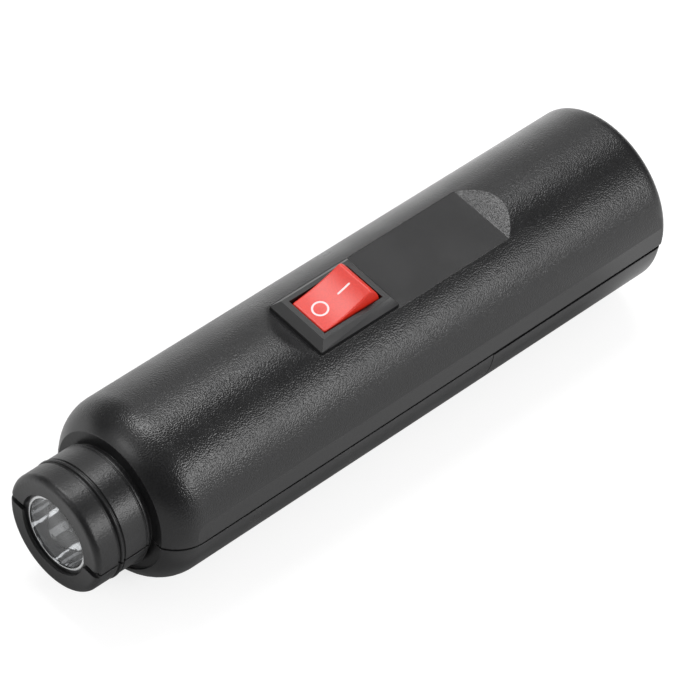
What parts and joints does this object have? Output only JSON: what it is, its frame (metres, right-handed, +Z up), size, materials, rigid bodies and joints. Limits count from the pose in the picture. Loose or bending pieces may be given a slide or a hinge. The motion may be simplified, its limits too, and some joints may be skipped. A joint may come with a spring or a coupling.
{
  "type": "egg candler",
  "caption": "Battery egg candler: a round torch with a rocker switch on its back, a lens and reflector in its short nose, and a sliding battery door behind.",
  "frame": {"origin": "on the flat of the underside, under the middle of the whole length", "axes": "+X along the beam to the nose, +Z up through the rocker switch, +Y to the left looking along the beam"},
  "size_m": [0.1512, 0.0378, 0.0426],
  "materials": {
    "black_abs": "moulded black ABS with a fine spark grain on the barrel and a smoother nose and panel",
    "zinc_steel": "zinc plated",
    "black_nylon": "smooth satin black nylon",
    "red_plastic": "bright glossy red with white on and off marks",
    "acetal": "natural acetal",
    "spring_steel": "bright spring wire",
    "brass": "stamped brass",
    "clear_lens": "clear polished acrylic",
    "mirror_plastic": "vacuum metallised plastic",
    "led_dome": "clear dome over yellow phosphor",
    "white_board": "white solder mask on an aluminium core",
    "resistor_coat": "beige lacquer coat",
    "cell_sleeve": "plain blue printed sleeve with no wording, over a steel can",
    "plated_steel": "nickel plated strip",
    "red_wire": "smooth insulation",
    "black_wire": "smooth insulation"
  },
  "bodies": {
    "torch_body": {"upper_shell": "black_abs", "lower_shell": "black_abs", "shell_screws": "zinc_steel", "switch_housing": "black_nylon", "common_terminal": "brass", "load_terminal": "brass", "lens": "clear_lens", "reflector": "mirror_plastic", "led_emitter": "led_dome", "led_board": "white_board", "series_resistor": "resistor_coat", "cell_left": "cell_sleeve", "cell_middle": "cell_sleeve", "cell_right": "cell_sleeve", "positive_contact": "plated_steel", "negative_contact": "plated_steel", "front_link": "plated_steel", "rear_link": "plated_steel", "contact_springs": "spring_steel", "wire_positive": "red_wire", "wire_switched": "red_wire", "wire_negative": "black_wire"},
    "rocker_body": {"rocker": "red_plastic", "plunger_spring": "spring_steel"},
    "plunger_body": {"plunger": "acetal"},
    "blade_body": {"contact_blade": "brass"},
    "door_body": {"battery_door": "black_abs"}
  },
  "joints": [
    {"name": "rocker_hinge", "type": "hinge", "parent": "torch_body", "child": "rocker_body", "pos_m": [0.00425, 0, 0.03641], "axis": [0, -1, 0], "range_deg": [0, 34]},
    {"name": "plunger_slide", "type": "slide", "parent": "rocker_body", "child": "plunger_body", "axis": [0.2924, 0, 0.9563], "range_m": [0, 0.0004], "stiffness_N_per_m": 150, "springref_m": -0.001, "deforming": ["plunger_spring"]},
    {"name": "blade_hinge", "type": "hinge", "parent": "torch_body", "child": "blade_body", "pos_m": [0.00425, 0, 0.028], "axis": [0, 1, 0], "range_deg": [0, 16.05]},
    {"name": "door_slide", "type": "slide", "parent": "torch_body", "child": "door_body", "axis": [-1, 0, 0], "range_m": [0, 0.052]}
  ],
  "couplings": [
    {"joint": "blade_hinge", "follows": "rocker_hinge", "ratio": 0.47059}
  ]
}
